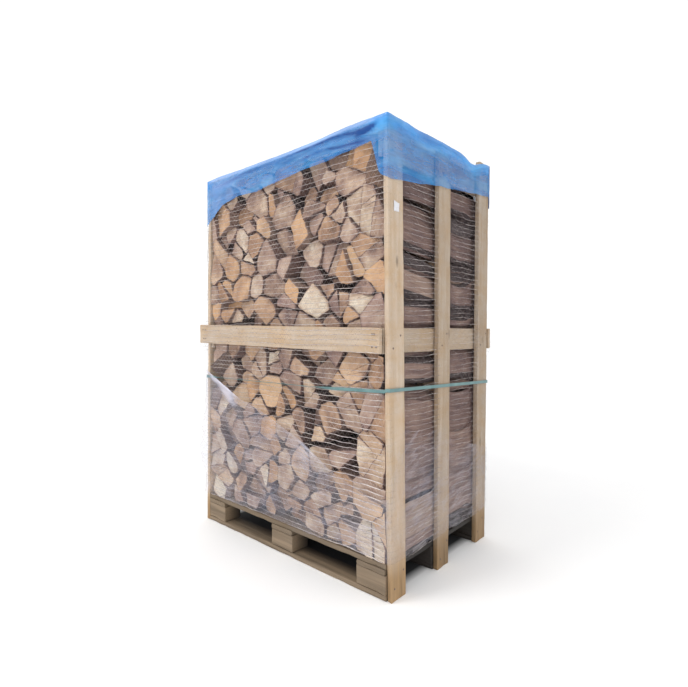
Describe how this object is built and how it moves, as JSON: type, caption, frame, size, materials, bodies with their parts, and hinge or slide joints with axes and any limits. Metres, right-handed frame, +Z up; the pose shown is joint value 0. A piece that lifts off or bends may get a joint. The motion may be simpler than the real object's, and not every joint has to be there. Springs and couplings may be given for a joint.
{
  "type": "palletised firewood crate",
  "caption": "Upright timber crate of split firewood on a wooden pallet, wrapped in net and stretch film under a plastic film cap.",
  "frame": {"origin": "middle of the crate's bounding box, on the ground", "axes": "+X along the long side towards the end seen on the right, +Y from the front long side to the back one, +Z up"},
  "size_m": [1.2832, 0.8512, 1.8313],
  "materials": {
    "pallet_wood": "rough sawn, weathered",
    "frame_wood": "rough sawn pine, new",
    "firewood": "split faces, bark and sawn ends",
    "cap_film": "thin translucent blue film",
    "net": "knitted white net",
    "strap": "embossed polyester strap",
    "stretch_film": "clear stretch film, creased"
  },
  "bodies": {
    "root": {"block_back_left": "pallet_wood", "block_back_middle": "pallet_wood", "block_back_right": "pallet_wood", "block_front_left": "pallet_wood", "block_front_middle": "pallet_wood", "block_front_right": "pallet_wood", "block_middle_left": "pallet_wood", "block_middle_middle": "pallet_wood", "block_middle_right": "pallet_wood", "bottom_board_back": "pallet_wood", "bottom_board_front": "pallet_wood", "bottom_board_middle": "pallet_wood", "deck_board_1": "pallet_wood", "deck_board_2": "pallet_wood", "deck_board_3": "pallet_wood", "deck_board_4": "pallet_wood", "deck_board_5": "pallet_wood", "film_cap": "cap_film", "logs_back_tier_01": "firewood", "logs_back_tier_02": "firewood", "logs_back_tier_03": "firewood", "logs_back_tier_04": "firewood", "logs_back_tier_05": "firewood", "logs_back_tier_06": "firewood", "logs_back_tier_07": "firewood", "logs_back_tier_08": "firewood", "logs_back_tier_09": "firewood", "logs_back_tier_10": "firewood", "logs_front_tier_01": "firewood", "logs_front_tier_02": "firewood", "logs_front_tier_03": "firewood", "logs_front_tier_04": "firewood", "logs_front_tier_05": "firewood", "logs_front_tier_06": "firewood", "logs_front_tier_07": "firewood", "logs_front_tier_08": "firewood", "logs_front_tier_09": "firewood", "logs_front_tier_10": "firewood", "mid_rail_back": "frame_wood", "mid_rail_front": "frame_wood", "mid_rail_left": "frame_wood", "mid_rail_right": "frame_wood", "net_wrap": "net", "post_left_back": "frame_wood", "post_left_front": "frame_wood", "post_left_middle": "frame_wood", "post_right_back": "frame_wood", "post_right_front": "frame_wood", "post_right_middle": "frame_wood", "strap": "strap", "stretch_film": "stretch_film", "stringer_left": "pallet_wood", "stringer_middle": "pallet_wood", "stringer_right": "pallet_wood", "top_rail_left": "frame_wood", "top_rail_right": "frame_wood"}
  },
  "joints": []
}
